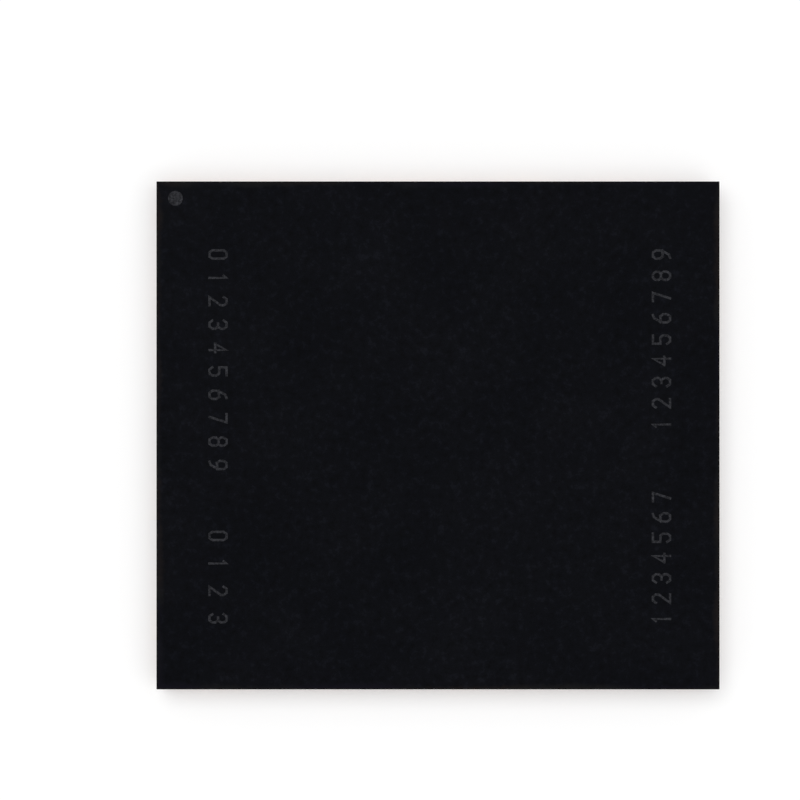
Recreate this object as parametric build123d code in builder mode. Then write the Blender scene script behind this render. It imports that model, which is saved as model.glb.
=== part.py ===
from build123d import *
from math import sqrt
import os

os.makedirs("parts", exist_ok=True)

# A bare chip in a wafer-level package. The origin is on the tips of the solder balls, under the
# middle of the die, with +Z up and the coated back of the die on top. Column 1 is at -X and
# row A at +Y, so the round mark on the coating stands over ball A1.

# Ball grid
pitch = 0.35
columns = 22
row_letters = "ABCDEFGHJKLMNPRTUVWY"
grid_shift = 0.02  # the grid lies this far towards row A
ball_diameter = 0.245

# Die and the layers on it, from the balls up
die_length = 7.87
die_width = 7.10
pad_rim_thickness = 0.006
film_over_copper = 0.010
film_relief = 0.005  # how far the film stands proud where copper runs under it
copper_thickness = 0.009
lower_film_thickness = 0.010
wiring_thickness = 0.012
die_thickness = 0.270
coating_thickness = 0.040

# Pads and openings under the balls
pad_diameter = 0.217
opening_diameter = 0.190
land_diameter = 0.250

# Bare lanes between the edge of the die and the lower film
lane_right = 0.087
lane_left = 0.073
lane_top = 0.015
lane_bottom = 0.021
film_ledge = 0.004  # the lower film shows this much past the upper one
film_edge_chamfer = 0.004
saw_step = 0.005  # the wiring is cut back from the edge of the silicon

# Redistribution copper
plane_reach = 0.150  # from a ball's centre to the edge of its plane
plane_corner = 0.030
strap_width = 0.085
trace_width = 0.030
trace_bend = 0.090
film_cover = 0.010  # film beside the copper, at the foot of its slope

# Vias through the lower film
via_diameter = 0.044
via_land_diameter = 0.072
via_every = 2  # a plane has a via in every so many gaps between its balls

# Seal ring and the test patches in the saw lane
seal_gap = 0.002
seal_width = 0.007
seal_depth = 0.008
patch_side = 0.046
patch_pitch = 0.098
patch_thickness = 0.003
patch_inset = 0.014  # from the edge of the die to the patches
narrow_patch_width = 0.024
narrow_patch_run = 1.85  # the length of lane, from the row A end, that has narrow patches

# Round mark at ball A1
mark_diameter = 0.21
mark_depth = 0.004
mark_from_left = 0.265
mark_from_top = 0.235

rows = len(row_letters)
ball_radius = ball_diameter / 2
ball_height = ball_radius + sqrt(ball_radius**2 - (pad_diameter / 2) ** 2)

film_face = ball_height + pad_rim_thickness
film_valley = film_face + film_relief
copper_face = film_face + film_over_copper
lower_film_face = copper_face + copper_thickness
wiring_face = lower_film_face + lower_film_thickness
die_face = wiring_face + wiring_thickness
coating_face = die_face + die_thickness

film_length = die_length - lane_left - lane_right
film_width = die_width - lane_top - lane_bottom
film_centre = ((lane_left - lane_right) / 2, (lane_bottom - lane_top) / 2)

# Copper planes, as first column, first row, last column, last row of the balls they join
plane_blocks = [
    (1, 1, 4, 1),
    (5, 1, 8, 2),
    (9, 1, 11, 1),
    (9, 2, 11, 3),
    (12, 1, 16, 1),
    (1, 2, 3, 3),
    (1, 4, 3, 6),
    (1, 7, 2, 8),
    (1, 9, 3, 12),
    (1, 13, 2, 14),
    (1, 15, 3, 17),
    (20, 4, 22, 5),
    (21, 6, 22, 9),
    (20, 10, 22, 11),
    (20, 12, 22, 15),
    (21, 16, 22, 18),
    (1, 18, 4, 20),
    (5, 20, 9, 20),
    (10, 18, 12, 20),
    (13, 20, 17, 20),
    (21, 19, 22, 20),
    (8, 7, 15, 14),
    (4, 8, 5, 13),
    (18, 8, 19, 13),
    (9, 5, 12, 5),
    (12, 16, 15, 17),
]

# Straps that join the balls of a short run, as first column, first row, last column, last row
strap_runs = [(column, 1, column, 2) for column in (18, 19, 20, 21, 22)]
strap_runs += [(column, 19, column, 20) for column in (18, 19, 20)]
strap_runs += [(4, 6, 6, 6), (4, 15, 6, 15), (17, 6, 19, 6), (17, 15, 19, 15)]

# Straight traces in the channels between columns, as channel, first row, last row
channel_runs = [
    (channel, first, last)
    for channel in (6.5, 16.5)
    for first, last in ((6.5, 8.5), (9.5, 11.5), (12.5, 14.5))
]
channel_runs += [(5.5, 16.5, 18.5), (14.5, 2.5, 5.5), (16.5, 17.5, 18.5)]

# Traces that cross from one channel to the next, as columns and rows of their corners
crossing_routes = [
    ((19.5, 2.5), (19.5, 3.5), (18.5, 3.5), (18.5, 5.5)),
    ((17.5, 2.5), (17.5, 3.5), (16.5, 3.5), (16.5, 5.5)),
    ((12.5, 2.5), (12.5, 3.5), (13.5, 3.5), (13.5, 5.5)),
    ((6.5, 3.5), (6.5, 4.5), (7.5, 4.5), (7.5, 5.5)),
    ((8.5, 18.5), (8.5, 17.5), (7.5, 17.5), (7.5, 15.5)),
]


def at(column, row):
    return ((column - (columns + 1) / 2) * pitch, ((rows + 1) / 2 - row) * pitch + grid_shift)


def between(first, last):
    return tuple((a + b) / 2 for a, b in zip(first, last))


def balls_of(run):
    first_column, first_row, last_column, last_row = run
    return [
        (column, row)
        for row in range(first_row, last_row + 1)
        for column in range(first_column, last_column + 1)
    ]


all_balls = [(column, row) for row in range(1, rows + 1) for column in range(1, columns + 1)]
plane_balls = [ball for block in plane_blocks for ball in balls_of(block)]
strap_balls = [ball for run in strap_runs for ball in balls_of(run)]
lone_balls = [ball for ball in all_balls if ball not in plane_balls + strap_balls]
trace_ends = [(channel, row) for channel, *ends in channel_runs for row in ends]
trace_ends += [route[end] for route in crossing_routes for end in (0, -1)]


# A gap between four balls is free where no plane, strap or trace comes near it
def gap_is_free(column, row):
    reach = 0.5
    near_run = any(
        first_column - reach <= column <= last_column + reach
        and first_row - reach <= row <= last_row + reach
        for first_column, first_row, last_column, last_row in plane_blocks + strap_runs
    )
    on_channel = any(
        column == channel and first - reach <= row <= last + reach
        for channel, first, last in channel_runs
    )
    by_route = any(
        min(c for c, r in route) - reach <= column <= max(c for c, r in route) + reach
        and min(r for c, r in route) - reach <= row <= max(r for c, r in route) + reach
        for route in crossing_routes
    )
    inside = 1 < column < columns and 1 < row < rows
    return inside and not (near_run or on_channel or by_route)


# Most lone balls have a short trace to a free gap beside them, and the turns vary over the grid
gap_reaches = {(side, end): [] for side in (-0.5, 0.5) for end in (-0.5, 0.5)}
taken_gaps = []
for column, row in lone_balls:
    free_turns = [
        (side, end)
        for side, end in gap_reaches
        if gap_is_free(column + side, row + end) and (column + side, row + end) not in taken_gaps
    ]
    if free_turns:
        side, end = free_turns[(column + 2 * row) % len(free_turns)]
        gap_reaches[side, end].append((column, row))
        taken_gaps.append((column + side, row + end))
reaching_balls = [ball for balls in gap_reaches.values() for ball in balls]


def via_gaps(block):
    first_column, first_row, last_column, last_row = block
    across = range(first_column, max(last_column, first_column + 1), via_every)
    down = range(first_row, max(last_row, first_row + 1), via_every)
    column_step = 0.5 if last_column > first_column else 0
    row_step = 0.5 if last_row > first_row else 0
    return [(column + column_step, row + row_step) for row in down for column in across]


# Where each kind of copper goes down through the lower film to the die
plane_vias = [gap for block in plane_blocks for gap in via_gaps(block)]
strap_vias = [gap for run in strap_runs for gap in via_gaps(run)]
land_vias = taken_gaps + [ball for ball in lone_balls if ball not in reaching_balls]


# The copper's outlines. Each takes how far to grow them, for the film that lies over the copper.
def draw_planes(grow=0):
    for first_column, first_row, last_column, last_row in plane_blocks:
        start = at(first_column, last_row)
        end = at(last_column, first_row)
        length = end[0] - start[0] + 2 * (plane_reach + grow)
        width = end[1] - start[1] + 2 * (plane_reach + grow)
        with Locations(between(start, end)):
            RectangleRounded(length, width, plane_corner + grow)


def draw_straps(grow=0):
    for first_column, first_row, last_column, last_row in strap_runs:
        start = at(first_column, last_row)
        end = at(last_column, first_row)
        length = end[0] - start[0] + strap_width + 2 * grow
        width = end[1] - start[1] + strap_width + 2 * grow
        with Locations(between(start, end)):
            Rectangle(length, width)
    with Locations(*[at(*ball) for ball in strap_balls]):
        Circle(land_diameter / 2 + grow)


def draw_lands(grow=0):
    with Locations(*[at(*ball) for ball in lone_balls]):
        Circle(land_diameter / 2 + grow)
    for (side, end), balls in gap_reaches.items():
        with Locations(*[at(column + side / 2, row + end / 2) for column, row in balls]):
            SlotCenterToCenter(
                pitch / sqrt(2), trace_width + 2 * grow, rotation=-45 if side * end > 0 else 45
            )
    with Locations(*[at(*gap) for gap in taken_gaps]):
        Circle(via_land_diameter / 2 + grow)


def draw_traces(grow=0):
    for channel, first, last in channel_runs:
        with Locations(between(at(channel, first), at(channel, last))):
            Rectangle(trace_width + 2 * grow, (last - first) * pitch)
    for route in crossing_routes:
        with BuildLine() as path:
            FilletPolyline(*[at(*corner) for corner in route], radius=trace_bend)
        trace(path.line, line_width=trace_width + 2 * grow)
    with Locations(*[at(*end) for end in trace_ends]):
        Circle(via_land_diameter / 2 + grow)


def draw_copper(grow=0):
    draw_planes(grow)
    draw_straps(grow)
    draw_lands(grow)
    draw_traces(grow)


def draw_vias(gaps, mode=Mode.ADD):
    with Locations(*[at(*gap) for gap in gaps]):
        Circle(via_diameter / 2, mode=mode)


def draw_film(inset=0):
    with Locations(film_centre):
        Rectangle(film_length - 2 * inset, film_width - 2 * inset)


# Solder balls, one node for each lettered row: truncated spheres that sit on their pads
with BuildPart() as ball:
    with Locations((0, 0, ball_radius)):
        Sphere(ball_radius)
    split(bisect_by=Plane.XY.offset(ball_height), keep=Keep.BOTTOM)

for row, letter in enumerate(row_letters.lower(), start=1):
    with BuildPart() as ball_row:
        with Locations(*[at(column, row) for column in range(1, columns + 1)]):
            add(ball.part)
    ball_row.part.label = f"solder_balls_row_{letter}"
    export_step(ball_row.part, f"parts/{ball_row.part.label}.step")

# Under-bump pads: a rim on the face of the film and a plug down to the copper
with BuildPart() as under_bump_pad:
    with BuildSketch(Plane.XY.offset(ball_height)):
        Circle(pad_diameter / 2)
    extrude(amount=pad_rim_thickness)
    with BuildSketch(Plane.XY.offset(film_face)):
        Circle(opening_diameter / 2)
    extrude(amount=film_over_copper)

with BuildPart() as under_bump_pads:
    with Locations(*[at(*ball) for ball in all_balls]):
        add(under_bump_pad.part)
under_bump_pads.part.label = "under_bump_pads"
export_step(under_bump_pads.part, "parts/under_bump_pads.step")

# Redistribution copper, with its vias through the lower film
copper_nets = {
    "power_planes": (draw_planes, plane_vias),
    "power_straps": (draw_straps, strap_vias),
    "ball_lands": (draw_lands, land_vias),
    "signal_traces": (draw_traces, trace_ends),
}
for net, (draw, vias) in copper_nets.items():
    with BuildPart() as copper:
        with BuildSketch(Plane.XY.offset(copper_face)):
            draw()
        extrude(amount=copper_thickness)
        with BuildSketch(Plane.XY.offset(lower_film_face)):
            draw_vias(vias)
        extrude(amount=lower_film_thickness)
    copper.part.label = net
    export_step(copper.part, f"parts/{net}.step")

# Upper film: it fills the gaps in the copper, covers it and rises over it with sloped edges,
# and is open at each ball
with BuildPart() as upper_polyimide:
    with BuildSketch(Plane.XY.offset(film_face)):
        draw_copper(film_cover - film_relief)
    extrude(amount=film_relief, taper=-45)
    with BuildSketch(Plane.XY.offset(film_valley)):
        draw_film(film_ledge)
    extrude(amount=film_over_copper - film_relief)
    with BuildSketch(Plane.XY.offset(film_face)):
        with Locations(*[at(*ball) for ball in all_balls]):
            Circle(opening_diameter / 2)
    extrude(amount=film_over_copper, mode=Mode.SUBTRACT)
    with BuildSketch(Plane.XY.offset(copper_face)):
        draw_film(film_ledge)
        with BuildSketch(mode=Mode.SUBTRACT):
            draw_copper()
    extrude(amount=copper_thickness)
upper_polyimide.part.label = "upper_polyimide"
export_step(upper_polyimide.part, "parts/upper_polyimide.step")

# Lower film, with an opening round each via
with BuildPart() as lower_polyimide:
    with BuildSketch(Plane.XY.offset(lower_film_face)):
        draw_film()
        draw_vias(plane_vias + strap_vias + land_vias + trace_ends, Mode.SUBTRACT)
    extrude(amount=lower_film_thickness)
    outer_edges = lower_polyimide.faces().sort_by(Axis.Z)[0].outer_wire().edges()
    chamfer(outer_edges, length=film_edge_chamfer)
lower_polyimide.part.label = "lower_polyimide"
export_step(lower_polyimide.part, "parts/lower_polyimide.step")

# Seal ring, a metal wall in the wiring just outside the film
with BuildPart() as seal_ring:
    with BuildSketch(Plane.XY.offset(wiring_face)):
        draw_film(-seal_gap - seal_width)
        with Locations(film_centre):
            Rectangle(
                film_length + 2 * seal_gap, film_width + 2 * seal_gap, mode=Mode.SUBTRACT
            )
    extrude(amount=seal_depth)
seal_ring.part.label = "seal_ring"
export_step(seal_ring.part, "parts/seal_ring.step")


# Test patches in the wide lane at +X: narrow ones near row A, square ones along the rest
def draw_patches():
    lane_end = die_width / 2 - saw_step - patch_side
    count = int((die_width - 2 * (saw_step + patch_side)) / patch_pitch)
    for number in range(count):
        y = lane_end - number * patch_pitch
        narrow = number * patch_pitch < narrow_patch_run
        width = narrow_patch_width if narrow else patch_side
        with Locations((die_length / 2 - patch_inset - width / 2, y)):
            Rectangle(width, patch_side)


with BuildPart() as saw_lane_patches:
    with BuildSketch(Plane.XY.offset(wiring_face)):
        draw_patches()
    extrude(amount=patch_thickness)
saw_lane_patches.part.label = "saw_lane_patches"
export_step(saw_lane_patches.part, "parts/saw_lane_patches.step")

# Wiring stack on the active face, with seats for the seal ring and the patches
with BuildPart() as wiring_stack:
    with BuildSketch(Plane.XY.offset(wiring_face)):
        Rectangle(die_length - 2 * saw_step, die_width - 2 * saw_step)
    extrude(amount=wiring_thickness)
    with BuildSketch(Plane.XY.offset(wiring_face)):
        draw_patches()
    extrude(amount=patch_thickness, mode=Mode.SUBTRACT)
    add(seal_ring.part, mode=Mode.SUBTRACT)
wiring_stack.part.label = "wiring_stack"
export_step(wiring_stack.part, "parts/wiring_stack.step")

# Silicon die
with BuildPart() as silicon_die:
    with BuildSketch(Plane.XY.offset(die_face)):
        Rectangle(die_length, die_width)
    extrude(amount=die_thickness)
silicon_die.part.label = "silicon_die"
export_step(silicon_die.part, "parts/silicon_die.step")

# Coating on the back of the die, with the round mark at ball A1
with BuildPart() as backside_coating:
    with BuildSketch(Plane.XY.offset(coating_face)):
        Rectangle(die_length, die_width)
    extrude(amount=coating_thickness)
    with BuildSketch(Plane.XY.offset(coating_face + coating_thickness)):
        with Locations((mark_from_left - die_length / 2, die_width / 2 - mark_from_top)):
            Circle(mark_diameter / 2)
    extrude(amount=-mark_depth, mode=Mode.SUBTRACT)
backside_coating.part.label = "backside_coating"
export_step(backside_coating.part, "parts/backside_coating.step")
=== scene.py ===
import math
import random

import bmesh
import bpy
from mathutils import Matrix, Vector
from mathutils.bvhtree import BVHTree


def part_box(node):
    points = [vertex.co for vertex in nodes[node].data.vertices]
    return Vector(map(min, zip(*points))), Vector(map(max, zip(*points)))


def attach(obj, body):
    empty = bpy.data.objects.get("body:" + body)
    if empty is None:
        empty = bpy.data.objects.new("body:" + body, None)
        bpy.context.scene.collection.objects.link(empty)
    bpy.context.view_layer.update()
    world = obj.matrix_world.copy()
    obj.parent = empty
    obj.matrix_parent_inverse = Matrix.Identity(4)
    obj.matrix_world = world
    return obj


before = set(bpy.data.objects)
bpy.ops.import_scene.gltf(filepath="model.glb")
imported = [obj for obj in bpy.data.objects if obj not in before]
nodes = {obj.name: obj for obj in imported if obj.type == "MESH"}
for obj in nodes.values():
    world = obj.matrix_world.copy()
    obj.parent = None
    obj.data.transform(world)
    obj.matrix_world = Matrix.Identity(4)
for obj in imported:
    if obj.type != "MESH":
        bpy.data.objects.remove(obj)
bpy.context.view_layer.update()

mm = 0.001
print("frame loaded")


# Lengths below are in millimetres, and a finished mesh is brought to metres in one go
def boxInMm(node):
    low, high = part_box(node)
    return Vector(low) / mm, Vector(high) / mm


copperNets = ("power_planes", "power_straps", "ball_lands", "signal_traces")
columnCount = 22
dieLow, dieHigh = boxInMm("silicon_die")
coatLow, coatHigh = boxInMm("backside_coating")
filmLow, filmHigh = boxInMm("upper_polyimide")
copperLow = boxInMm("signal_traces")[0]
ballRows = sorted(name for name in nodes if name.startswith("solder_balls_row_"))
rowBoxes = [boxInMm(name) for name in ballRows]
firstLow, firstHigh = rowBoxes[0]
ballRadius = (firstHigh.y - firstLow.y) / 2
firstColumnX = firstLow.x + ballRadius
ballPitch = (firstHigh.x - firstLow.x - 2 * ballRadius) / (columnCount - 1)
rowYs = [(low.y + high.y) / 2 for low, high in rowBoxes]


def columnX(column):
    return firstColumnX + (column - 1) * ballPitch


def rowY(row):
    return rowYs[0] - (row - 1) * ballPitch


def nearestBall(x, y):
    column = min(max(round((x - firstColumnX) / ballPitch) + 1, 1), columnCount)
    row = min(max(round((rowYs[0] - y) / ballPitch) + 1, 1), len(rowYs))
    return math.hypot(x - columnX(column), y - rowY(row))


# Shaders. Patterns are placed in millimetres. In a look, a noise is its scale, detail and roughness,
# a spread is a range and the one it becomes, and a tone is the stops of a ramp.
def startShader(name, look):
    material = bpy.data.materials.new(name)
    material.use_nodes = True
    material.diffuse_color = (*look["base"], 1)
    surface = material.node_tree.nodes["Principled BSDF"]
    surface.inputs["Base Color"].default_value = (*look["base"], 1)
    surface.inputs["Roughness"].default_value = look["roughness"]
    surface.inputs["Metallic"].default_value = look.get("metallic", 0.0)
    surface.inputs["Specular IOR Level"].default_value = look.get("specular", 0.5)
    return material, material.node_tree, surface


def patternPlace(tree, stretch=(1, 1, 1)):
    coords = tree.nodes.new("ShaderNodeTexCoord")
    place = tree.nodes.new("ShaderNodeMapping")
    place.inputs["Scale"].default_value = [value / mm for value in stretch]
    tree.links.new(coords.outputs["Object"], place.inputs["Vector"])
    return place.outputs["Vector"]


def addNoise(tree, place, scale, detail=3.0, roughness=0.5):
    noise = tree.nodes.new("ShaderNodeTexNoise")
    noise.inputs["Scale"].default_value = scale
    noise.inputs["Detail"].default_value = detail
    noise.inputs["Roughness"].default_value = roughness
    tree.links.new(place, noise.inputs["Vector"])
    return noise.outputs["Fac"]


def addRamp(tree, factor, stops):
    ramp = tree.nodes.new("ShaderNodeValToRGB")
    elements = ramp.color_ramp.elements
    for index, (position, color) in enumerate(stops):
        element = elements[index] if index < len(elements) else elements.new(position)
        element.position = position
        element.color = (*color, 1)
    tree.links.new(factor, ramp.inputs["Fac"])
    return ramp.outputs["Color"]


def addMix(tree, factor, first, second, blend="MIX"):
    mix = tree.nodes.new("ShaderNodeMix")
    mix.data_type = "RGBA"
    mix.blend_type = blend
    if isinstance(factor, (int, float)):
        mix.inputs["Factor"].default_value = factor
    else:
        tree.links.new(factor, mix.inputs["Factor"])
    for socket, value in ((mix.inputs["A"], first), (mix.inputs["B"], second)):
        if isinstance(value, tuple):
            socket.default_value = (*value, 1)
        else:
            tree.links.new(value, socket)
    return mix.outputs["Result"]


def addRange(tree, value, low, high, newLow=0.0, newHigh=1.0):
    spread = tree.nodes.new("ShaderNodeMapRange")
    for name, number in (("From Min", low), ("From Max", high), ("To Min", newLow), ("To Max", newHigh)):
        spread.inputs[name].default_value = number
    tree.links.new(value, spread.inputs["Value"])
    return spread.outputs["Result"]


def addBump(tree, surface, height, depth):
    bump = tree.nodes.new("ShaderNodeBump")
    bump.inputs["Distance"].default_value = depth * mm
    bump.inputs["Strength"].default_value = 1.0
    tree.links.new(height, bump.inputs["Height"])
    tree.links.new(bump.outputs["Normal"], surface.inputs["Normal"])


def axisOf(tree, place, axis):
    split = tree.nodes.new("ShaderNodeSeparateXYZ")
    tree.links.new(place, split.inputs["Vector"])
    return split.outputs[axis]


def addMath(tree, operation, *values):
    result = tree.nodes.new("ShaderNodeMath")
    result.operation = operation
    for socket, value in zip(result.inputs, values):
        if isinstance(value, (int, float)):
            socket.default_value = value
        else:
            tree.links.new(value, socket)
    return result.outputs["Value"]


def addSum(tree, first, second):
    return addMath(tree, "ADD", first, second)


# How far a point lies inside the die's outline
def edgeDistance(tree, place):
    reach = []
    for axis, half in (("X", dieHigh.x), ("Y", dieHigh.y)):
        reach.append(addMath(tree, "SUBTRACT", half, addMath(tree, "ABSOLUTE", axisOf(tree, place, axis))))
    return addMath(tree, "MINIMUM", *reach)


# One random tone for each cell of a grid, from a cell's width and height and the grid's shift
def cellTone(tree, place, size, shift):
    grid = tree.nodes.new("ShaderNodeMapping")
    grid.inputs["Location"].default_value = (*shift, 0)
    grid.inputs["Scale"].default_value = (1 / size[0], 1 / size[1], 0)
    tree.links.new(place, grid.inputs["Vector"])
    corner = tree.nodes.new("ShaderNodeVectorMath")
    corner.operation = "FLOOR"
    tree.links.new(grid.outputs["Vector"], corner.inputs[0])
    own = tree.nodes.new("ShaderNodeTexWhiteNoise")
    tree.links.new(corner.outputs["Vector"], own.inputs["Vector"])
    return own.outputs["Value"]


# A finish whose tone follows one noise
def makePlain(name, look):
    material, tree, surface = startShader(name, look)
    speckle = addNoise(tree, patternPlace(tree), *look["noise"])
    tree.links.new(addRamp(tree, speckle, look["tone"]), surface.inputs["Base Color"])
    if "bumpDepth" in look:
        addBump(tree, surface, speckle, look["bumpDepth"])
    return material


# The dark film on the back: small flecks all over, a paler ragged rim, and a black line at its edge
def makeCoating():
    look = {
        "base": (0.0025, 0.0028, 0.0041), "roughness": 0.6, "specular": 0.02,
        "cloud": (1.1, 3.0),
        "cloudTone": ((0.35, (0.0025, 0.0028, 0.0041)), (0.7, (0.0034, 0.0037, 0.0052))),
        "grain": (9.0, 6.0, 0.75),
        "flecks": ((0.36, 0.55), (0.46, 0.93), (0.54, 1.05), (0.64, 1.9)),
        "roughnessSpread": (0.3, 0.7, 0.5, 0.7),
        "rimWidth": 0.085, "rimStrength": 0.9,
        "ragged": (14.0, 4.0), "raggedSpread": (0.3, 0.7, -0.02, 0.02),
        "wander": (0.9, 1.0), "wanderSpread": (0.38, 0.62, -0.03, 0.03),
        "tint": (0.55, 1.0),
        "rimTone": (
            (0.43, (0.0050, 0.0047, 0.0080)),
            (0.50, (0.0086, 0.0088, 0.0092)),
            (0.57, (0.0108, 0.0087, 0.0086)),
        ),
        "lip": (0.0010, 0.0006, 0.0006), "lipWidth": 0.011, "lipFade": 1.3,
        "texture": (60.0, 3.0), "textureDepth": 0.0012,
    }
    material, tree, surface = startShader("backCoating", look)
    place = patternPlace(tree)
    grain = addNoise(tree, place, *look["grain"])
    tone = addRamp(tree, addNoise(tree, place, *look["cloud"]), look["cloudTone"])
    flecks = addRamp(tree, grain, [(at, (level,) * 3) for at, level in look["flecks"]])
    tone = addMix(tree, 1.0, tone, flecks, "MULTIPLY")
    inward = edgeDistance(tree, place)
    ragged = addRange(tree, addNoise(tree, place, *look["ragged"]), *look["raggedSpread"])
    wander = addRange(tree, addNoise(tree, place, *look["wander"]), *look["wanderSpread"])
    uneven = addSum(tree, addSum(tree, inward, ragged), wander)
    rim = addRange(tree, uneven, 0.0, look["rimWidth"], look["rimStrength"], 0.0)
    rimTone = addRamp(tree, addNoise(tree, place, *look["tint"]), look["rimTone"])
    tone = addMix(tree, rim, tone, rimTone)
    lip = addRange(tree, inward, look["lipWidth"], look["lipWidth"] * look["lipFade"], 1.0, 0.0)
    tone = addMix(tree, lip, tone, look["lip"])
    tree.links.new(tone, surface.inputs["Base Color"])
    tree.links.new(addRange(tree, grain, *look["roughnessSpread"]), surface.inputs["Roughness"])
    addBump(tree, surface, addNoise(tree, place, *look["texture"]), look["textureDepth"])
    return material


# The sawn silicon: streaks along the cut, and a darker band beside the circuit
def makeSilicon():
    look = {
        "base": (0.125, 0.125, 0.136), "roughness": 0.34, "specular": 0.7,
        "tone": ((0.38, (0.022, 0.022, 0.026)), (0.62, (0.125, 0.125, 0.136))),
        "fine": (9.0, 5.0, 0.7), "fineStretch": (0.5, 0.5, 9), "fineShare": 0.35,
        "broad": (6.0, 4.0, 0.65), "broadStretch": (0.12, 0.12, 3), "broadShare": 0.4,
        "pits": (26.0, 3.0, 0.6), "pitShare": 0.25,
        "band": (0.030, 0.027, 0.029), "bandHeight": 0.03, "bandFade": 0.004, "bandStrength": 0.75,
        "bandSpread": (0.3, 0.7, -0.008, 0.008),
        "roughnessSpread": (0.35, 0.65, 0.25, 0.5), "bumpDepth": 0.004,
    }
    material, tree, surface = startShader("sawnSilicon", look)
    place = patternPlace(tree)
    fine = addNoise(tree, patternPlace(tree, look["fineStretch"]), *look["fine"])
    broad = addNoise(tree, patternPlace(tree, look["broadStretch"]), *look["broad"])
    pits = addNoise(tree, place, *look["pits"])
    cut = addMath(tree, "MULTIPLY", fine, look["fineShare"])
    cut = addSum(tree, cut, addMath(tree, "MULTIPLY", broad, look["broadShare"]))
    cut = addSum(tree, cut, addMath(tree, "MULTIPLY", pits, look["pitShare"]))
    tone = addRamp(tree, cut, look["tone"])
    height = addSum(tree, axisOf(tree, place, "Z"), addRange(tree, pits, *look["bandSpread"]))
    bandTop = dieLow.z + look["bandHeight"]
    band = addRange(tree, height, bandTop, bandTop + look["bandFade"], look["bandStrength"], 0.0)
    tree.links.new(addMix(tree, band, tone, look["band"]), surface.inputs["Base Color"])
    tree.links.new(addRange(tree, cut, *look["roughnessSpread"]), surface.inputs["Roughness"])
    addBump(tree, surface, cut, look["bumpDepth"])
    return material


def makeStack():
    look = {
        "base": (0.03, 0.028, 0.03), "roughness": 0.2, "cellScale": 14.0,
        "tone": ((0.1, (0.012, 0.012, 0.014)), (0.8, (0.04, 0.036, 0.038)), (1.0, (0.11, 0.09, 0.085))),
    }
    material, tree, surface = startShader("wiringGlass", look)
    cells = tree.nodes.new("ShaderNodeTexVoronoi")
    cells.distance = "CHEBYCHEV"
    cells.inputs["Scale"].default_value = look["cellScale"]
    tree.links.new(patternPlace(tree), cells.inputs["Vector"])
    tone = addRamp(tree, axisOf(tree, cells.outputs["Color"], "X"), look["tone"])
    tree.links.new(tone, surface.inputs["Base Color"])
    return material


# The test patches, each with a tone of its own
def makePatchMetal():
    look = {
        "base": (0.5, 0.42, 0.4), "roughness": 0.38, "metallic": 0.7, "perMm": 9.8,
        "tone": ((0.0, (0.10, 0.075, 0.08)), (0.4, (0.36, 0.28, 0.27)), (1.0, (0.80, 0.74, 0.72))),
        "scuff": (40.0,), "scuffTone": ((0.3, (0.7, 0.7, 0.7)), (0.7, (1, 1, 1))),
    }
    material, tree, surface = startShader("patchMetal", look)
    place = patternPlace(tree, (1, look["perMm"], 1))
    cell = tree.nodes.new("ShaderNodeTexWhiteNoise")
    cell.noise_dimensions = "1D"
    tree.links.new(addMath(tree, "FLOOR", axisOf(tree, place, "Y")), cell.inputs["W"])
    tone = addRamp(tree, cell.outputs["Value"], look["tone"])
    scuff = addRamp(tree, addNoise(tree, patternPlace(tree), *look["scuff"]), look["scuffTone"])
    tree.links.new(addMix(tree, 1.0, tone, scuff, "MULTIPLY"), surface.inputs["Base Color"])
    return material


# Each ball has its own tone, from the cell of the grid that it stands in
def makeSolder():
    look = {
        "base": (0.89, 0.815, 0.78), "roughness": 0.3, "metallic": 0.6,
        "frost": (16.0, 3.0, 0.55), "tone": ((0.3, (0.54, 0.52, 0.515)), (0.55, (0.89, 0.815, 0.78))),
        "ownTone": ((0.0, (0.80, 0.80, 0.81)), (1.0, (1.0, 1.0, 1.0))),
        "rim": (0.87, 0.76, 0.70), "rimFrom": 0.3, "rimStrength": 0.9,
        "neckShade": (0.50, 0.37, 0.30), "neckFrom": 1.1, "neckStrength": 0.8,
        "roughnessSpread": (0.3, 0.7, 0.33, 0.47),
        "dents": (11.0, 3.0, 0.5), "dentDepth": 0.0022,
    }
    material, tree, surface = startShader("solder", look)
    place = patternPlace(tree)
    shift = (0.5 - firstColumnX / ballPitch, 0.5 - rowYs[0] / ballPitch)
    own = addRamp(tree, cellTone(tree, place, (ballPitch, ballPitch), shift), look["ownTone"])
    frost = addNoise(tree, place, *look["frost"])
    tone = addMix(tree, 1.0, addRamp(tree, frost, look["tone"]), own, "MULTIPLY")
    height = axisOf(tree, place, "Z")
    # Painted reflection: a warm cream tint that grows from near each ball's tip up to its equator, toward
    # its rim
    rim = addRange(tree, height, ballRadius * look["rimFrom"], ballRadius, 0.0, look["rimStrength"])
    tone = addMix(tree, rim, tone, look["rim"])
    # Painted shade: darker brown on the upper part of each ball, where it meets the film
    neckShade = addRange(tree, height, ballRadius * look["neckFrom"], dieLow.z, 0.0, look["neckStrength"])
    tree.links.new(addMix(tree, neckShade, tone, look["neckShade"]), surface.inputs["Base Color"])
    tree.links.new(addRange(tree, frost, *look["roughnessSpread"]), surface.inputs["Roughness"])
    addBump(tree, surface, addNoise(tree, place, *look["dents"]), look["dentDepth"])
    return material


# Painted highlight: the film's slopes and the edge lines are painted pale where they face this way
litSide = (-0.78, 0.62, 0.0)
# A wave texture of scale 1 repeats at this distance
wavePeriod = math.tau / 20


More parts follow.
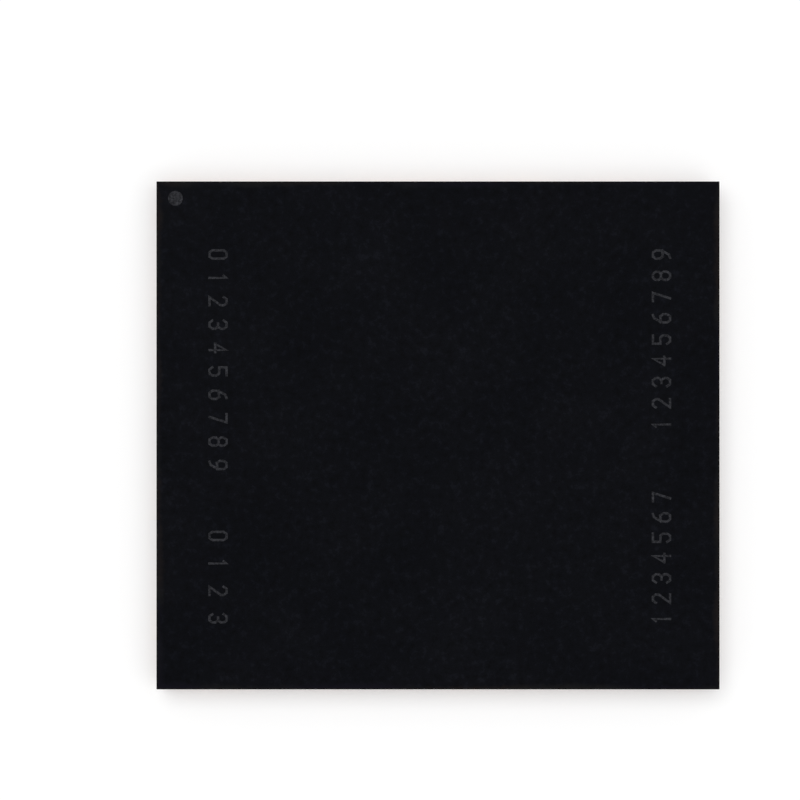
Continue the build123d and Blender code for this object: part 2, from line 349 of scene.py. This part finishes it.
# The amber film: golden where it stands proud over copper, redder in the valleys between, with
# the fine wiring below it showing through as lines that run one way in each patch
def makeFilm(name, faceZ, relief):
    look = {
        "base": (0.215, 0.060, 0.0040), "roughness": 0.34, "specular": 0.02,
        "cloud": (2.2, 5.0, 0.6),
        "faceTone": ((0.35, (0.215, 0.060, 0.0040)), (0.68, (0.375, 0.140, 0.0290))),
        "valleyTone": ((0.35, (0.096, 0.0150, 0.0005)), (0.68, (0.250, 0.072, 0.0085))),
        "valleyFrom": (0.93, 0.99),
        "slope": (0.56, 0.270, 0.120), "slopeFrom": 0.06, "slopeTo": 0.94,
        "slopeSpread": (0.05, 0.35, 0.25, 1.0),
        "linePitch": 0.042, "lineWaver": 0.5, "lineDetail": 1.0,
        "lineTone": ((0.0, (0.66, 0.58, 0.48)), (0.55, (0.98, 0.98, 0.98)), (1.0, (1.70, 2.0, 3.0))),
        "turned": ((0.61, 0.72), (9.13, 6.391)),
        "clarity": (3.2, 3.0), "clear": (0.42, 0.60),
        "wide": ((0.83, 0.34), (0.31, 0.217)), "tall": ((0.26, 0.94), (4.77, 3.339)),
        "blockTone": (
            (0.1, (0.46, 0.30, 0.12)), (0.4, (0.90, 0.83, 0.70)),
            (0.7, (1.10, 1.13, 1.2)), (0.95, (1.5, 1.75, 2.4)),
        ),
        "texture": (30.0, 4.0), "textureDepth": 0.0016,
    }
    material, tree, surface = startShader(name, look)
    place = patternPlace(tree)
    rise = addRange(tree, axisOf(tree, place, "Z"), faceZ, faceZ + relief)
    cloud = addNoise(tree, place, *look["cloud"])
    over = addRamp(tree, cloud, look["faceTone"])
    under = addRamp(tree, cloud, look["valleyTone"])
    tone = addMix(tree, addRange(tree, rise, *look["valleyFrom"]), over, under)

    lines = []
    for direction in ("X", "Y"):
        wave = tree.nodes.new("ShaderNodeTexWave")
        wave.bands_direction = direction
        wave.inputs["Scale"].default_value = wavePeriod / look["linePitch"]
        wave.inputs["Distortion"].default_value = look["lineWaver"]
        wave.inputs["Detail"].default_value = look["lineDetail"]
        tree.links.new(place, wave.inputs["Vector"])
        lines.append(wave.outputs["Fac"])
    turned = addMath(tree, "GREATER_THAN", cellTone(tree, place, *look["turned"]), 0.5)
    straight = addMath(tree, "SUBTRACT", 1.0, turned)
    hatch = addMath(tree, "MULTIPLY", lines[0], turned)
    hatch = addSum(tree, hatch, addMath(tree, "MULTIPLY", lines[1], straight))
    hatch = addRamp(tree, hatch, look["lineTone"])
    clarity = addRange(tree, addNoise(tree, place, *look["clarity"]), *look["clear"])
    hatch = addMix(tree, clarity, (1.0, 1.0, 1.0), hatch)
    wide = cellTone(tree, place, *look["wide"])
    tall = cellTone(tree, place, *look["tall"])
    blocks = addRamp(tree, addMath(tree, "MULTIPLY", addSum(tree, wide, tall), 0.5), look["blockTone"])
    tone = addMix(tree, 1.0, tone, addMix(tree, 1.0, hatch, blocks, "MULTIPLY"), "MULTIPLY")

    # Painted highlight: the slopes that face litSide take the pale slope colour, the others keep the
    # film's tone
    black = (0, 0, 0)
    white = (1, 1, 1)
    stops = [(0.0, black), (look["slopeFrom"], white), (look["slopeTo"], white), (1.0, black)]
    shape = tree.nodes.new("ShaderNodeNewGeometry")
    facing = tree.nodes.new("ShaderNodeVectorMath")
    facing.operation = "DOT_PRODUCT"
    facing.inputs[1].default_value = litSide
    tree.links.new(shape.outputs["Normal"], facing.inputs[0])
    lit = addRange(tree, facing.outputs["Value"], *look["slopeSpread"])
    slopeHighlightMask = addMath(tree, "MULTIPLY", addRamp(tree, rise, stops), lit)
    tree.links.new(addMix(tree, slopeHighlightMask, tone, look["slope"]), surface.inputs["Base Color"])
    addBump(tree, surface, addNoise(tree, place, *look["texture"]), look["textureDepth"])
    return material


ringLook = {
    "base": (0.82, 0.64, 0.46), "roughness": 0.3, "metallic": 0.85,
    "noise": (25.0, 3.0), "tone": ((0.3, (0.62, 0.45, 0.31)), (0.7, (0.88, 0.74, 0.58))),
}
padLook = {
    "base": (0.34, 0.22, 0.15), "roughness": 0.4, "metallic": 0.9,
    "noise": (30.0,), "tone": ((0.3, (0.12, 0.07, 0.05)), (0.7, (0.42, 0.28, 0.19))),
}
copperLook = {
    "base": (0.66, 0.33, 0.17), "roughness": 0.32, "metallic": 1.0,
    "noise": (45.0, 3.0), "tone": ((0.3, (0.50, 0.22, 0.10)), (0.7, (0.74, 0.40, 0.22))),
}
filmRelief = {"upper": 0.005, "lower": 0.001}
finishes = {
    "backside_coating": makeCoating(),
    "silicon_die": makeSilicon(),
    "wiring_stack": makeStack(),
    "seal_ring": makePlain("ringMetal", ringLook),
    "saw_lane_patches": makePatchMetal(),
    "under_bump_pads": makePlain("padMetal", padLook),
    "upper_polyimide": makeFilm("upperFilm", filmLow.z, filmRelief["upper"]),
    "lower_polyimide": makeFilm("lowerFilm", copperLow.z, filmRelief["lower"]),
}
finishes.update(dict.fromkeys(copperNets, makePlain("platedCopper", copperLook)))
finishes.update(dict.fromkeys(ballRows, makeSolder()))
for name, material in finishes.items():
    nodes[name].data.materials.clear()
    nodes[name].data.materials.append(material)
print("CAD nodes finished")


def addPiece(name, bm, material):
    bmesh.ops.scale(bm, vec=(mm, mm, mm), verts=bm.verts)
    mesh = bpy.data.meshes.new(name)
    bm.to_mesh(mesh)
    bm.free()
    for face in mesh.polygons:
        face.use_smooth = False
    mesh.materials.append(material)
    piece = bpy.data.objects.new(name, mesh)
    bpy.context.scene.collection.objects.link(piece)
    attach(piece, "root")


# A thin flat shape becomes a closed skin that sinks into what carries it
def thicken(bm, depth):
    bm.normal_update()
    bmesh.ops.solidify(bm, geom=bm.faces[:], thickness=depth)
    bmesh.ops.recalc_face_normals(bm, faces=bm.faces)


# Painted highlight: pale lines where the film bends over the copper's edges that face the light
edgeLine = {
    "width": 0.011, "proud": 0.0006, "skin": 0.002, "clearOfBall": 0.137, "leastLit": 0.3,
    "weld": 1e-4, "underside": 0.001, "downwards": -0.9, "straight": 0.5,
    "finish": {
        "base": (0.86, 0.54, 0.32), "roughness": 0.28, "specular": 0.3,
        "noise": (9.0, 4.0, 0.6), "tone": ((0.36, (0.28, 0.100, 0.024)), (0.62, (0.86, 0.54, 0.32))),
    },
}


# The flat underside of one net of copper, as few faces as it can be
def copperOutline(net):
    bm = bmesh.new()
    bm.from_mesh(nodes[net].data)
    bmesh.ops.scale(bm, vec=(1 / mm,) * 3, verts=bm.verts)
    bmesh.ops.remove_doubles(bm, verts=bm.verts, dist=edgeLine["weld"])
    highest = copperLow.z + edgeLine["underside"]
    hidden = []
    for face in bm.faces:
        if face.normal.z > edgeLine["downwards"] or face.calc_center_median().z > highest:
            hidden.append(face)
    bmesh.ops.delete(bm, geom=hidden, context="FACES")
    angle = math.radians(edgeLine["straight"])
    bmesh.ops.dissolve_limit(bm, angle_limit=angle, verts=bm.verts, edges=bm.edges)
    return bm


def addEdgeLines():
    material = makePlain("paintedEdgeGlint", edgeLine["finish"])
    for net in copperNets:
        bm = copperOutline(net)
        inner = list(bm.faces)
        ring = bmesh.ops.inset_individual(
            bm, faces=inner, thickness=edgeLine["width"], use_even_offset=True
        )["faces"]
        # Edges facing away from litSide get no line, so the painted highlight shows on the lit side only;
        # lines under a ball are dropped as well
        unlitOrHidden = []
        for face in ring:
            centre = face.calc_center_median()
            inside = [edge for edge in face.edges if any(other in inner for other in edge.link_faces)][0]
            outwards = centre - (inside.verts[0].co + inside.verts[1].co) / 2
            turnedAway = outwards.normalized().dot(Vector(litSide)) < edgeLine["leastLit"]
            if turnedAway or nearestBall(centre.x, centre.y) < edgeLine["clearOfBall"]:
                unlitOrHidden.append(face)
        bmesh.ops.delete(bm, geom=inner + unlitOrHidden, context="FACES")
        for vert in bm.verts:
            vert.co.z = filmLow.z - edgeLine["proud"]
        thicken(bm, edgeLine["skin"])
        addPiece("painted_glint_lines_" + net, bm, material)


addEdgeLines()
print("edge lines done")

# Rows of small vias that dimple the film, as the column or row they follow and its two ends
dimpleLook = {
    "down": (
        (5.5, 0.75, 2.3), (6.5, 0.75, 2.3), (15.5, 0.75, 2.4),
        (16.5, 0.75, 2.4), (19.5, 0.8, 2.2), (2.5, 9.3, 11.6),
    ),
    "across": (
        (2.58, 1.0, 4.2), (2.58, 20.5, 21.6), (4.56, 20.4, 22.2),
        (14.5, 20.3, 21.9), (10.5, 10.2, 13.0),
    ),
    "pitch": 0.011, "lane": 0.046, "clearOfBall": 0.130, "seed": 5,
    "radius": (0.0095, 0.0165), "taper": 0.5, "sides": 6, "proud": 0.0016,
    "finish": {
        "base": (0.80, 0.52, 0.32), "roughness": 0.3, "specular": 0.3,
        "noise": (26.0, 1.0), "tone": ((0.44, (0.050, 0.010, 0.0010)), (0.60, (0.80, 0.52, 0.32))),
    },
}
filmMesh = nodes["upper_polyimide"].data
filmTree = BVHTree.FromPolygons(
    [vert.co / mm for vert in filmMesh.vertices], [face.vertices for face in filmMesh.polygons]
)


# The film's lowest point here, found by a ray from well below the balls
def filmZ(x, y):
    hit = filmTree.ray_cast(Vector((x, y, -1.0)), Vector((0, 0, 1)))[0]
    return hit.z if hit else filmHigh.z


def dimpleSpots():
    random.seed(dimpleLook["seed"])
    spots = []
    for column, first, last in dimpleLook["down"]:
        for index in range(int((last - first) * ballPitch / dimpleLook["pitch"])):
            side = random.uniform(-1, 1) * dimpleLook["lane"]
            spots.append((columnX(column) + side, rowY(first) - index * dimpleLook["pitch"]))
    for row, first, last in dimpleLook["across"]:
        for index in range(int((last - first) * ballPitch / dimpleLook["pitch"])):
            side = random.uniform(-1, 1) * dimpleLook["lane"]
            spots.append((columnX(first) + index * dimpleLook["pitch"], rowY(row) + side))
    return [spot for spot in spots if nearestBall(*spot) > dimpleLook["clearOfBall"]]


def addDimples():
    bm = bmesh.new()
    for x, y in dimpleSpots():
        size = random.uniform(*dimpleLook["radius"])
        tip = size * dimpleLook["taper"]
        place = Matrix.Translation((x, y, filmZ(x, y)))
        bmesh.ops.create_cone(
            bm, cap_ends=True, segments=dimpleLook["sides"], radius1=tip, radius2=size,
            depth=2 * dimpleLook["proud"], matrix=place,
        )
    addPiece("via_dimples", bm, makePlain("viaDimple", dimpleLook["finish"]))


addDimples()
print("via dimples done")

# Painted reflection: a small dark spot just off the tip of each ball, standing in for the camera's mirror
# image, shaped as the scar a test probe leaves
scarLook = {
    "radius": 0.021, "sides": 9, "offset": (0.0, -0.024), "stray": 0.009,
    "size": (0.75, 1.2), "width": (0.8, 1.3), "length": (0.6, 1.0),
    "proud": 0.0006, "skin": 0.0015, "seed": 7,
    "finish": {
        "base": (0.30, 0.30, 0.31), "roughness": 0.45, "metallic": 0.9,
        "noise": (45.0, 3.0), "tone": ((0.35, (0.085, 0.085, 0.095)), (0.65, (0.30, 0.30, 0.31))),
    },
}


def addScars():
    random.seed(scarLook["seed"])
    reach = ballRadius + scarLook["proud"]
    bm = bmesh.new()
    for row in range(1, len(rowYs) + 1):
        for column in range(1, columnCount + 1):
            across = scarLook["offset"][0] + random.uniform(-1, 1) * scarLook["stray"]
            along = scarLook["offset"][1] + random.uniform(-1, 1) * scarLook["stray"]
            size = scarLook["radius"] * random.uniform(*scarLook["size"])
            made = bmesh.ops.create_circle(
                bm, cap_ends=True, cap_tris=True, segments=scarLook["sides"], radius=size
            )["verts"]
            stretch = (random.uniform(*scarLook["width"]), random.uniform(*scarLook["length"]), 1)
            bmesh.ops.scale(bm, vec=stretch, verts=made)
            for vert in made:
                x = vert.co.x + across
                y = vert.co.y + along
                z = ballRadius - math.sqrt(reach**2 - x**2 - y**2)
                vert.co = (columnX(column) + x, rowY(row) + y, z)
    bmesh.ops.reverse_faces(bm, faces=bm.faces)
    thicken(bm, scarLook["skin"])
    addPiece("tip_reflection_scars", bm, makePlain("tipReflectionScar", scarLook["finish"]))


addScars()
print("probe scars done")

# Small shell-shaped chips that the saw leaves along the edges of the silicon
chipLook = {
    "perSide": 60, "sides": 7, "size": (0.007, 0.026), "sizeBias": 3,
    "depth": (0.35, 0.7), "length": (0.9, 2.2), "ragged": (0.7, 1.2), "span": 0.99,
    "proud": 0.0005, "skin": 0.002, "seed": 11,
    "finish": {
        "base": (0.26, 0.26, 0.28), "roughness": 0.22, "specular": 0.8,
        "noise": (24.0, 2.0), "tone": ((0.35, (0.06, 0.06, 0.068)), (0.65, (0.26, 0.26, 0.28))),
    },
}


# One chip, half a rough oval, lying flat with its straight side on the edge
def addChip(bm):
    smallest, largest = chipLook["size"]
    size = smallest + (largest - smallest) * random.random() ** chipLook["sizeBias"]
    made = bmesh.ops.create_circle(bm, cap_ends=True, segments=chipLook["sides"], radius=size)["verts"]
    stretch = (random.uniform(*chipLook["depth"]), random.uniform(*chipLook["length"]), 1)
    bmesh.ops.scale(bm, vec=stretch, verts=made)
    for vert in made:
        vert.co.x = abs(vert.co.x) * random.uniform(*chipLook["ragged"])
    return made


def addChips():
    random.seed(chipLook["seed"])
    bm = bmesh.new()
    for turn, reach, span in ((0, dieHigh.x, dieHigh.y), (90, dieHigh.y, dieHigh.x)):
        turning = Matrix.Rotation(math.radians(turn), 4, "Z")
        for facing in (1, -1):
            for edgeZ, inwards in ((dieLow.z, 1), (coatLow.z, -1)):
                upright = Matrix(((0, 0, 1, 0), (0, 1, 0, 0), (inwards, 0, 0, 0), (0, 0, 0, 1)))
                for index in range(chipLook["perSide"]):
                    made = addChip(bm)
                    along = random.uniform(-chipLook["span"], chipLook["span"]) * span
                    place = Matrix.Translation((facing * (reach + chipLook["proud"]), along, edgeZ))
                    bmesh.ops.transform(bm, verts=made, matrix=turning @ place @ upright)
    bm.normal_update()
    inward = [face for face in bm.faces if face.normal.dot(face.calc_center_median()) < 0]
    bmesh.ops.reverse_faces(bm, faces=inward)
    thicken(bm, chipLook["skin"])
    addPiece("saw_chips", bm, makePlain("brokenSilicon", chipLook["finish"]))


addChips()
print("saw chips done")

# The round mark and the digits that a laser left on the coating
markLook = {
    "cornerInset": (0.265, 0.235), "cornerRadius": 0.104, "cornerSides": 48, "cornerProud": 0.0004,
    "depth": 0.004, "skin": 0.002,
    "height": 0.272, "stroke": 0.033, "narrow": 0.72, "layer": 0.0001, "proud": 0.0006,
    "columns": (
        {"x": -3.075, "turn": -90, "runs": ((2.529, -0.327, "0123456789"), (-1.406, -0.384, "0123"))},
        {"x": 3.124, "turn": 90, "runs": ((0.152, 0.297, "123456789"), (-2.566, 0.284, "1234567"))},
    ),
    "finish": {
        "base": (0.040, 0.041, 0.047), "roughness": 0.8, "specular": 0.06, "bumpDepth": 0.002,
        "noise": (38.0, 2.0, 0.8),
        "tone": ((0.32, (0.0060, 0.0062, 0.0076)), (0.68, (0.040, 0.041, 0.047))),
    },
}


def addCornerMark(material):
    bm = bmesh.new()
    x = dieLow.x + markLook["cornerInset"][0]
    y = dieHigh.y - markLook["cornerInset"][1]
    z = coatHigh.z - markLook["depth"] + markLook["cornerProud"]
    bmesh.ops.create_circle(
        bm, cap_ends=True, segments=markLook["cornerSides"], radius=markLook["cornerRadius"],
        matrix=Matrix.Translation((x, y, z)),
    )
    thicken(bm, markLook["skin"])
    addPiece("corner_mark", bm, material)


# The strokes of each digit on a grid four wide and six high
digitWide = 4
digitHigh = 6
digitStrokes = {
    "0": [((1, 0), (3, 0), (4, 1), (4, 5), (3, 6), (1, 6), (0, 5), (0, 1), (1, 0))],
    "1": [((1, 5), (2, 6), (2, 0))],
    "2": [((0, 5), (1, 6), (3, 6), (4, 5), (4, 4), (0, 0), (4, 0))],
    "3": [
        ((0, 5), (1, 6), (3, 6), (4, 5), (4, 4), (3, 3), (4, 2), (4, 1), (3, 0), (1, 0), (0, 1)),
        ((1.5, 3), (3, 3)),
    ],
    "4": [((3, 0), (3, 6), (0, 2)), ((0, 2), (4, 2))],
    "5": [((4, 6), (0, 6), (0, 3.4), (3, 3.4), (4, 2.5), (4, 1), (3, 0), (1, 0), (0, 1))],
    "6": [
        ((3.6, 6), (2, 5.6), (0, 3), (0, 1), (1, 0), (3, 0), (4, 1), (4, 2.4), (3, 3.4)),
        ((3, 3.4), (0, 3.2)),
    ],
    "7": [((0, 6), (4, 6), (1.4, 0))],
    "8": [
        ((1, 3.2), (0, 4), (0, 5), (1, 6), (3, 6), (4, 5), (4, 4), (3, 3.2), (1, 3.2)),
        ((1, 3.2), (0, 2.3), (0, 1), (1, 0), (3, 0), (4, 1), (4, 2.3), (3, 3.2)),
    ],
    "9": [
        ((0.4, 0), (2, 0.4), (4, 3), (4, 5), (3, 6), (1, 6), (0, 5), (0, 3.6), (1, 2.6)),
        ((1, 2.6), (4, 2.8)),
    ],
}
# A mitre at a sharp turn reaches no further than half the width over this
mitreLimit = 0.5


# A line of even width along the points, mitred where it turns
def addStroke(bm, points, width):
    points = [Vector(point) for point in points]
    closed = points[0] == points[-1]
    sides = []
    for index, point in enumerate(points):
        before = points[index - 1] if index else (points[-2] if closed else None)
        after = points[index + 1] if index + 1 < len(points) else (points[1] if closed else None)
        into = (point - before).normalized() if before else (after - point).normalized()
        outOf = (after - point).normalized() if after else into
        along = (into + outOf).normalized()
        across = Vector((-along.y, along.x)) * width / 2 / max(along.dot(into), mitreLimit)
        if not before or not after:
            point = point + along * width / 2 * (1 if before else -1)
        sides.append([bm.verts.new((*(point + across * side), 0)) for side in (1, -1)])
    for (left, right), (nextLeft, nextRight) in zip(sides, sides[1:]):
        bm.faces.new((right, nextRight, nextLeft, left))
    return [vert for pair in sides for vert in pair]


# Where two strokes of a digit cross, the later one lies a layer lower
def addDigits(material):
    bm = bmesh.new()
    unit = (markLook["height"] - markLook["stroke"]) / digitHigh
    acrossUnit = unit * markLook["narrow"]
    for column in markLook["columns"]:
        turning = Matrix.Rotation(math.radians(column["turn"]), 4, "Z")
        for start, step, text in column["runs"]:
            for index, digit in enumerate(text):
                centre = (column["x"], start + step * index, coatHigh.z + markLook["proud"])
                place = Matrix.Translation(centre) @ turning
                for stroke in digitStrokes[digit]:
                    place = place @ Matrix.Translation((0, 0, -markLook["layer"]))
                    points = []
                    for x, y in stroke:
                        points.append(((x - digitWide / 2) * acrossUnit, (y - digitHigh / 2) * unit))
                    made = addStroke(bm, points, markLook["stroke"])
                    bmesh.ops.transform(bm, verts=made, matrix=place)
    thicken(bm, markLook["skin"])
    addPiece("laser_digits", bm, material)


markFinish = makePlain("laserMark", markLook["finish"])
addCornerMark(markFinish)
addDigits(markFinish)
print("marks done")

# Floor, lights and camera
stageLook = {"floorSide": 0.4, "floorTone": 0.96, "floorLift": 0.09, "worldSeen": 1.0, "worldLight": 0.5}
suns = {
    "key": {"towards": (0.22, -0.30, -1.0), "strength": 1.0, "softness": 40},
    "fill": {"towards": (-0.30, 0.16, -1.0), "strength": 0.65, "softness": 50},
    "under": {"towards": (0.95, -0.38, 1.0), "strength": 0.79, "softness": 60},
    "underFill": {"towards": (-0.95, -0.12, 1.0), "strength": 0.72, "softness": 60},
}


# Seen by the camera the floor is lifted to white, and from below it is clear
def makeFloorFinish():
    material = bpy.data.materials.new("floor")
    material.use_nodes = True
    tree = material.node_tree
    tree.nodes.clear()
    out = tree.nodes.new("ShaderNodeOutputMaterial")
    cover = tree.nodes.new("ShaderNodeBsdfDiffuse")
    cover.inputs["Color"].default_value = (*[stageLook["floorTone"]] * 3, 1)
    glow = tree.nodes.new("ShaderNodeEmission")
    path = tree.nodes.new("ShaderNodeLightPath")
    lift = addMath(tree, "MULTIPLY", path.outputs["Is Camera Ray"], stageLook["floorLift"])
    tree.links.new(lift, glow.inputs["Strength"])
    both = tree.nodes.new("ShaderNodeAddShader")
    tree.links.new(cover.outputs["BSDF"], both.inputs[0])
    tree.links.new(glow.outputs["Emission"], both.inputs[1])
    clear = tree.nodes.new("ShaderNodeBsdfTransparent")
    side = tree.nodes.new("ShaderNodeNewGeometry")
    choose = tree.nodes.new("ShaderNodeMixShader")
    tree.links.new(side.outputs["Backfacing"], choose.inputs["Fac"])
    tree.links.new(both.outputs["Shader"], choose.inputs[1])
    tree.links.new(clear.outputs["BSDF"], choose.inputs[2])
    tree.links.new(choose.outputs["Shader"], out.inputs["Surface"])
    return material


def addFloor():
    bm = bmesh.new()
    bmesh.ops.create_grid(bm, x_segments=1, y_segments=1, size=stageLook["floorSide"] / 2)
    mesh = bpy.data.meshes.new("floor")
    bm.to_mesh(mesh)
    bm.free()
    mesh.materials.append(makeFloorFinish())
    floor = bpy.data.objects.new("floor", mesh)
    bpy.context.scene.collection.objects.link(floor)
    floor.visible_diffuse = False
    floor.visible_glossy = False
    floor.visible_shadow = False


# White where it is seen or mirrored, and half as bright as a light
def addWorld():
    world = bpy.data.worlds.new("studio")
    bpy.context.scene.world = world
    world.use_nodes = True
    tree = world.node_tree
    sky = tree.nodes["Background"]
    sky.inputs["Color"].default_value = (1, 1, 1, 1)
    path = tree.nodes.new("ShaderNodeLightPath")
    seen = path.outputs["Is Camera Ray"]
    for ray in ("Is Glossy Ray", "Is Transmission Ray"):
        seen = addMath(tree, "MAXIMUM", seen, path.outputs[ray])
    level = addRange(tree, seen, 0.0, 1.0, stageLook["worldLight"], stageLook["worldSeen"])
    tree.links.new(level, sky.inputs["Strength"])


def addSun(name, towards, strength, softness):
    lamp = bpy.data.lights.new(name, "SUN")
    lamp.energy = strength
    lamp.angle = math.radians(softness)
    holder = bpy.data.objects.new(name, lamp)
    holder.rotation_mode = "QUATERNION"
    holder.rotation_quaternion = Vector(towards).to_track_quat("-Z", "Y")
    bpy.context.scene.collection.objects.link(holder)


addFloor()
addWorld()
for name, sun in suns.items():
    addSun(name, **sun)

# The photograph's frame: 800 pixels across, and the chip's middle right of and below the centre
photoFrame = {
    "side": 800, "chipAcross": 563, "chipMiddle": (438.0, 435.4),
    "lens": 100, "sensor": 36, "clipShare": 0.1, "clipEnd": 1.0,
}


def addCamera():
    data = bpy.data.cameras.new("camera")
    camera = bpy.data.objects.new("camera", data)
    bpy.context.scene.collection.objects.link(camera)
    data.lens = photoFrame["lens"]
    data.sensor_width = photoFrame["sensor"]
    perPixel = (dieHigh.x - dieLow.x) / photoFrame["chipAcross"]
    width = perPixel * photoFrame["side"]
    away = width / 2 / (photoFrame["sensor"] / 2 / photoFrame["lens"])
    middle = photoFrame["side"] / 2
    x = -(photoFrame["chipMiddle"][0] - middle) * perPixel
    y = (photoFrame["chipMiddle"][1] - middle) * perPixel
    camera.location = Vector((x, y, coatHigh.z + away)) * mm
    data.clip_start = away * mm * photoFrame["clipShare"]
    data.clip_end = photoFrame["clipEnd"]
    bpy.context.scene.camera = camera


addCamera()
bpy.context.scene.view_settings.view_transform = "Standard"

print("stage done")
